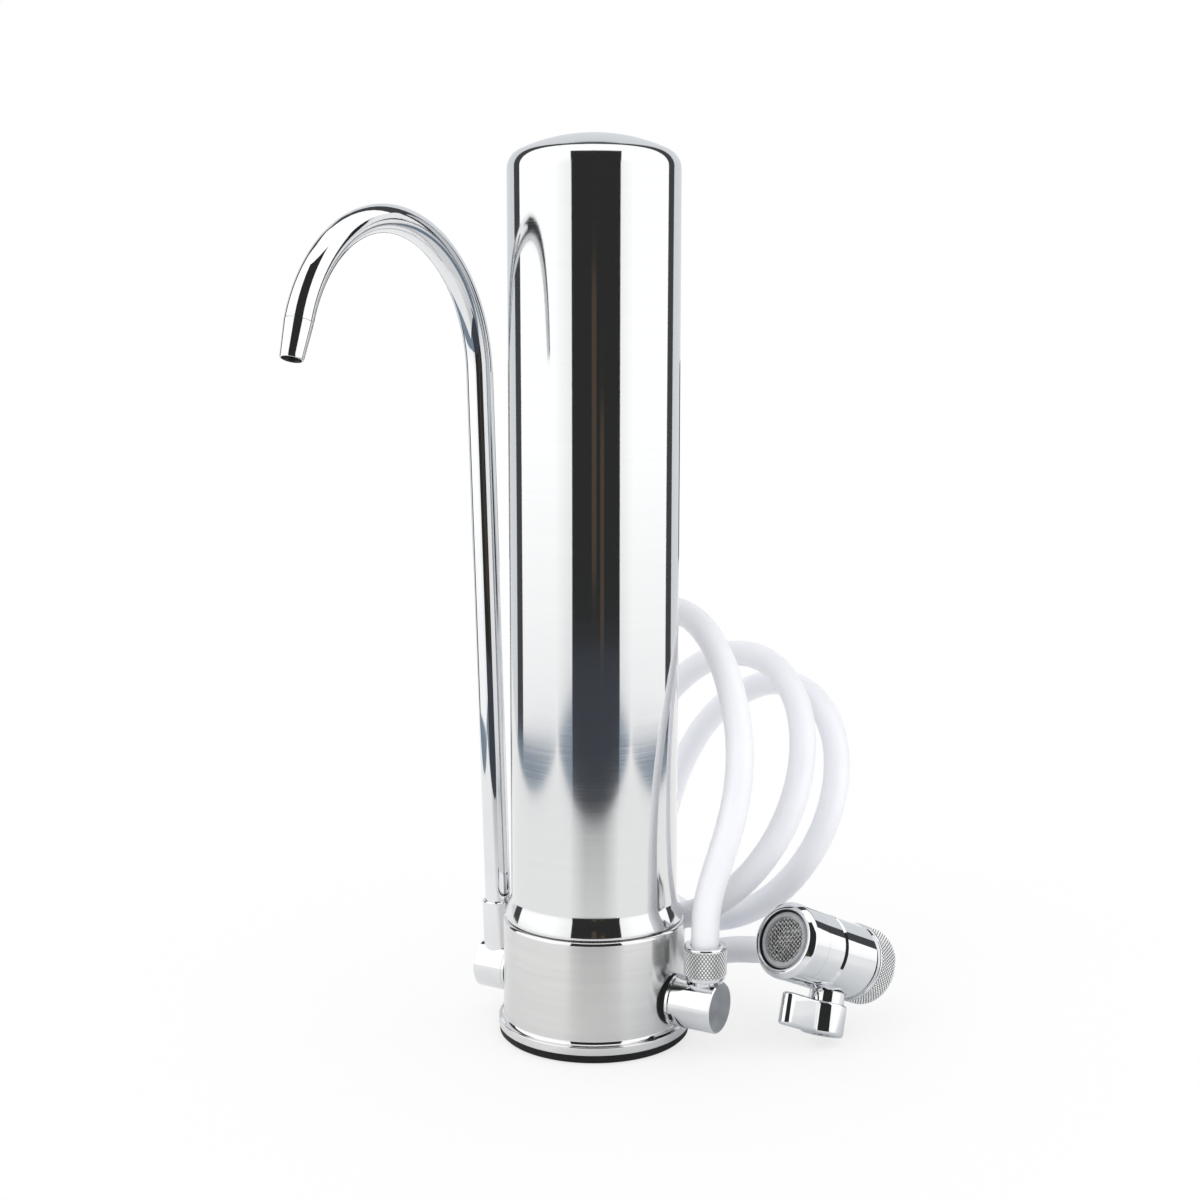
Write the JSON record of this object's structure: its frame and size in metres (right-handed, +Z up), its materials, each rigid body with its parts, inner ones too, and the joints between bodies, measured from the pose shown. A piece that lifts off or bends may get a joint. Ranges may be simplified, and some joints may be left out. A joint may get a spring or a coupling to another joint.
{
  "type": "countertop water filter",
  "caption": "Countertop water filter: polished steel canister on a round base, swivel gooseneck spout, coiled white hose and a chrome tap diverter with a lever.",
  "frame": {"origin": "on the counter, at the centre of the foot pad, on the axis of the canister", "axes": "+Z up along the canister, +X towards the inlet elbow, -X towards the outlet and its spout, and the spout points to -Y at rest"},
  "size_m": [0.1623, 0.2564, 0.3417],
  "materials": {
    "polished_steel": "mirror polished, turning satin towards the lip",
    "satin_steel": "satin, brushed round the base",
    "steel": "plain",
    "chrome": "polished",
    "brass": "turned",
    "black_rubber": "matte",
    "black_plastic": "moulded",
    "white_plastic": "moulded",
    "ceramic": "unglazed",
    "carbon": "pressed block",
    "white_hose": "smooth, slightly soft",
    "grey_plastic": "moulded"
  },
  "bodies": {
    "base": {"foot_pad": "black_rubber", "base_cover": "black_plastic", "base_shell": "satin_steel", "manifold": "white_plastic", "canister_seal": "black_rubber", "candle_washer": "black_rubber", "candle_mount": "white_plastic", "ceramic_candle": "ceramic", "carbon_block": "carbon", "inlet_elbow": "chrome", "inlet_washer": "chrome", "inlet_gasket": "black_rubber", "inlet_port_seal": "black_rubber", "outlet_elbow": "chrome", "outlet_washer": "chrome", "outlet_gasket": "black_rubber", "outlet_port_seal": "black_rubber", "inlet_hose_sleeve": "brass", "diverter_hose_sleeve": "brass", "hose_rise": "white_hose", "hose_coil": "white_hose", "hose_tail": "white_hose", "diverter_body": "chrome", "aerator_housing": "chrome", "aerator_insert": "grey_plastic", "aerator_screen": "steel", "aerator_seal": "black_rubber", "tap_washer": "black_rubber"},
    "canister": {"canister": "polished_steel", "canister_collar": "steel"},
    "spout": {"spout_tube": "chrome", "spout_tip": "chrome", "spout_plug": "brass", "spout_seals": "black_rubber", "spout_clip": "steel"},
    "inlet_hose_nut": {"inlet_hose_nut": "chrome"},
    "diverter_hose_nut": {"diverter_hose_nut": "chrome"},
    "lever": {"diverter_lever": "chrome", "diverter_spool": "brass", "spool_seal": "black_rubber", "lever_screw": "steel"},
    "swivel_nut": {"swivel_nut": "chrome"}
  },
  "joints": [
    {"name": "canister_lift", "type": "slide", "parent": "base", "child": "canister", "axis": [0, 0, 1], "range_m": [0, 0.3]},
    {"name": "spout_swivel", "type": "hinge", "parent": "base", "child": "spout", "pos_m": [-0.04346, 0, 0.0182], "axis": [-0.0314, 0, 0.9995], "range_deg": [-215, 35]},
    {"name": "inlet_nut_spin", "type": "hinge", "parent": "base", "child": "inlet_hose_nut", "pos_m": [0.0483, 0, 0.0182], "axis": [0, 0, 1], "continuous": true},
    {"name": "diverter_nut_spin", "type": "hinge", "parent": "base", "child": "diverter_hose_nut", "pos_m": [0.0822, 0.0425, 0.03068], "axis": [-0.9553, 0.2395, -0.1735], "continuous": true},
    {"name": "lever_turn", "type": "hinge", "parent": "base", "child": "lever", "pos_m": [0.0822, 0.0425, 0.03068], "axis": [-0.0497, 0.4482, 0.8925], "range_deg": [0, 90]},
    {"name": "swivel_nut_spin", "type": "hinge", "parent": "base", "child": "swivel_nut", "pos_m": [0.0822, 0.0425, 0.03068], "axis": [0.2915, 0.8612, -0.4163], "continuous": true}
  ]
}
